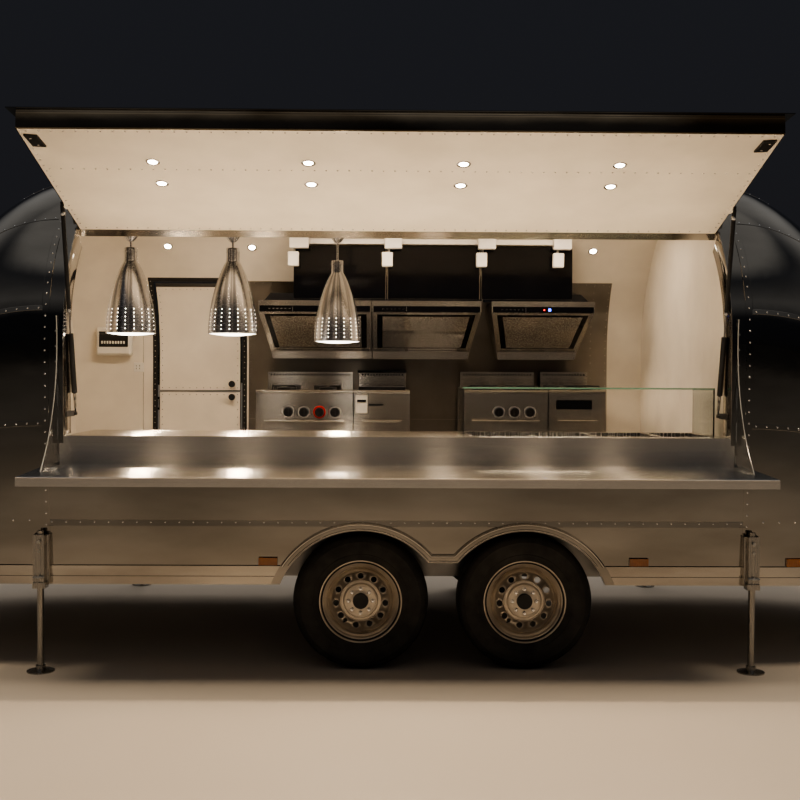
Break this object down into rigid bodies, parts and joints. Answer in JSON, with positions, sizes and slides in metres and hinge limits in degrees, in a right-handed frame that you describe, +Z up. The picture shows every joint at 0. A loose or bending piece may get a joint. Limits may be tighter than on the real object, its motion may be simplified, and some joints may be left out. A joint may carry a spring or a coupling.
{
  "type": "catering trailer",
  "caption": "Tandem-axle catering trailer with a polished round-ended body, a lift-up serving hatch with a shelf, and a kitchen inside.",
  "frame": {"origin": "on the ground under the middle of the whole, with the hatch open", "axes": "+X towards the rear, +Y towards the entry door's side, +Z up"},
  "size_m": [7.384, 3.3716, 2.785],
  "materials": {
    "polished_aluminium": "mirror polished",
    "bright_aluminium": "satin",
    "dull_aluminium": "mill",
    "stainless": "brushed",
    "lamp_steel": "brushed",
    "galvanised_steel": "galvanised",
    "axle_steel": "black paint",
    "black_steel": "satin black",
    "bright_rod": "polished",
    "wheel_steel": "silver paint",
    "tyre": "matte",
    "floor_board": "coated board on a steel frame",
    "cream_panel": "satin",
    "black_gloss": "gloss",
    "clear_acrylic": "clear",
    "clear_glass": "clear",
    "amber_lens": "moulded lens",
    "red_lens": "moulded lens"
  },
  "bodies": {
    "trailer": {"drawbar": "galvanised_steel", "coupling_head": "galvanised_steel", "jack_tube": "galvanised_steel", "steady_sleeves": "galvanised_steel", "axles": "axle_steel", "floor_deck": "floor_board", "belly_pan": "dull_aluminium", "wheel_wells": "axle_steel", "serving_wall": "polished_aluminium", "door_wall": "polished_aluminium", "roof_panel": "polished_aluminium", "front_cap": "polished_aluminium", "rear_cap": "polished_aluminium", "bulkheads": "cream_panel", "strut_brackets": "black_steel", "rub_rail": "bright_aluminium", "arch_trims": "bright_aluminium", "rear_bumper": "bright_aluminium", "serving_shelf": "stainless", "side_guards": "clear_acrylic", "serving_counter": "stainless", "counter_base": "stainless", "food_pans": "stainless", "sneeze_glass": "clear_glass", "heat_lamps": "lamp_steel", "range_hoods": "stainless", "flue_casings": "black_gloss", "cookers": "stainless", "splash_panel": "stainless", "marker_lamps": "amber_lens", "tail_lamps": "red_lens", "roof_vents": "dull_aluminium", "hatch_hinge": "bright_aluminium", "door_hinges": "bright_aluminium"},
    "hatch": {"hatch_shell": "polished_aluminium", "hatch_liner": "cream_panel"},
    "strut_tube_front": {"strut_tube_front": "black_steel"},
    "strut_rod_front": {"strut_rod_front": "bright_rod"},
    "strut_tube_rear": {"strut_tube_rear": "black_steel"},
    "strut_rod_rear": {"strut_rod_rear": "bright_rod"},
    "door_lower": {"door_lower": "polished_aluminium"},
    "door_upper": {"door_upper": "polished_aluminium"},
    "jack_leg": {"jack_leg": "galvanised_steel"},
    "leg_serving_front": {"leg_serving_front": "galvanised_steel"},
    "wheel_serving_front": {"tyre_serving_front": "tyre", "rim_serving_front": "wheel_steel"},
    "leg_serving_rear": {"leg_serving_rear": "galvanised_steel"},
    "wheel_serving_rear": {"tyre_serving_rear": "tyre", "rim_serving_rear": "wheel_steel"},
    "leg_door_front": {"leg_door_front": "galvanised_steel"},
    "wheel_door_front": {"tyre_door_front": "tyre", "rim_door_front": "wheel_steel"},
    "leg_door_rear": {"leg_door_rear": "galvanised_steel"},
    "wheel_door_rear": {"tyre_door_rear": "tyre", "rim_door_rear": "wheel_steel"}
  },
  "joints": [
    {"name": "hatch_swing", "type": "hinge", "parent": "trailer", "child": "hatch", "pos_m": [0.517, -0.56112, 2.39851], "axis": [1, 0, 0], "range_deg": [0, 95]},
    {"name": "strut_swing_front", "type": "hinge", "parent": "hatch", "child": "strut_tube_front", "pos_m": [-1.235, -0.90312, 2.4605], "axis": [1, 0, 0], "range_deg": [-113.92, 0]},
    {"name": "strut_slide_front", "type": "slide", "parent": "strut_tube_front", "child": "strut_rod_front", "axis": [0, -0.2205, 0.9754], "range_m": [0, 0.43751]},
    {"name": "strut_swing_rear", "type": "hinge", "parent": "hatch", "child": "strut_tube_rear", "pos_m": [2.269, -0.90312, 2.4605], "axis": [1, 0, 0], "range_deg": [-113.92, 0]},
    {"name": "strut_slide_rear", "type": "slide", "parent": "strut_tube_rear", "child": "strut_rod_rear", "axis": [0, -0.2205, 0.9754], "range_m": [0, 0.43751]},
    {"name": "door_lower_swing", "type": "hinge", "parent": "trailer", "child": "door_lower", "pos_m": [-1.237, 1.61771, 1.45], "axis": [0, 0, 1], "range_deg": [0, 100]},
    {"name": "door_upper_swing", "type": "hinge", "parent": "trailer", "child": "door_upper", "pos_m": [-1.237, 1.61771, 1.45], "axis": [0, 0, 1], "range_deg": [0, 100]},
    {"name": "wheel_serving_front_spin", "type": "hinge", "parent": "trailer", "child": "wheel_serving_front", "pos_m": [0.32, -0.70929, 0.364], "axis": [0, 1, 0], "continuous": true},
    {"name": "leg_serving_front_lift", "type": "slide", "parent": "trailer", "child": "leg_serving_front", "axis": [0, 0, 1], "range_m": [0, 0.3]},
    {"name": "wheel_serving_rear_spin", "type": "hinge", "parent": "trailer", "child": "wheel_serving_rear", "pos_m": [1.2, -0.70929, 0.364], "axis": [0, 1, 0], "continuous": true},
    {"name": "leg_serving_rear_lift", "type": "slide", "parent": "trailer", "child": "leg_serving_rear", "axis": [0, 0, 1], "range_m": [0, 0.3]},
    {"name": "wheel_door_front_spin", "type": "hinge", "parent": "trailer", "child": "wheel_door_front", "pos_m": [0.32, 1.48071, 0.364], "axis": [0, 1, 0], "continuous": true},
    {"name": "leg_door_front_lift", "type": "slide", "parent": "trailer", "child": "leg_door_front", "axis": [0, 0, 1], "range_m": [0, 0.3]},
    {"name": "wheel_door_rear_spin", "type": "hinge", "parent": "trailer", "child": "wheel_door_rear", "pos_m": [1.2, 1.48071, 0.364], "axis": [0, 1, 0], "continuous": true},
    {"name": "leg_door_rear_lift", "type": "slide", "parent": "trailer", "child": "leg_door_rear", "axis": [0, 0, 1], "range_m": [0, 0.3]},
    {"name": "jack_lift", "type": "slide", "parent": "trailer", "child": "jack_leg", "axis": [0, 0, 1], "range_m": [0, 0.2]}
  ],
  "couplings": [
    {"joint": "strut_swing_front", "follows": "hatch_swing", "ratio": -1.1873},
    {"joint": "strut_slide_front", "follows": "hatch_swing", "m_per_rad": 0.26126},
    {"joint": "strut_swing_rear", "follows": "hatch_swing", "ratio": -1.1873},
    {"joint": "strut_slide_rear", "follows": "hatch_swing", "m_per_rad": 0.26126}
  ]
}
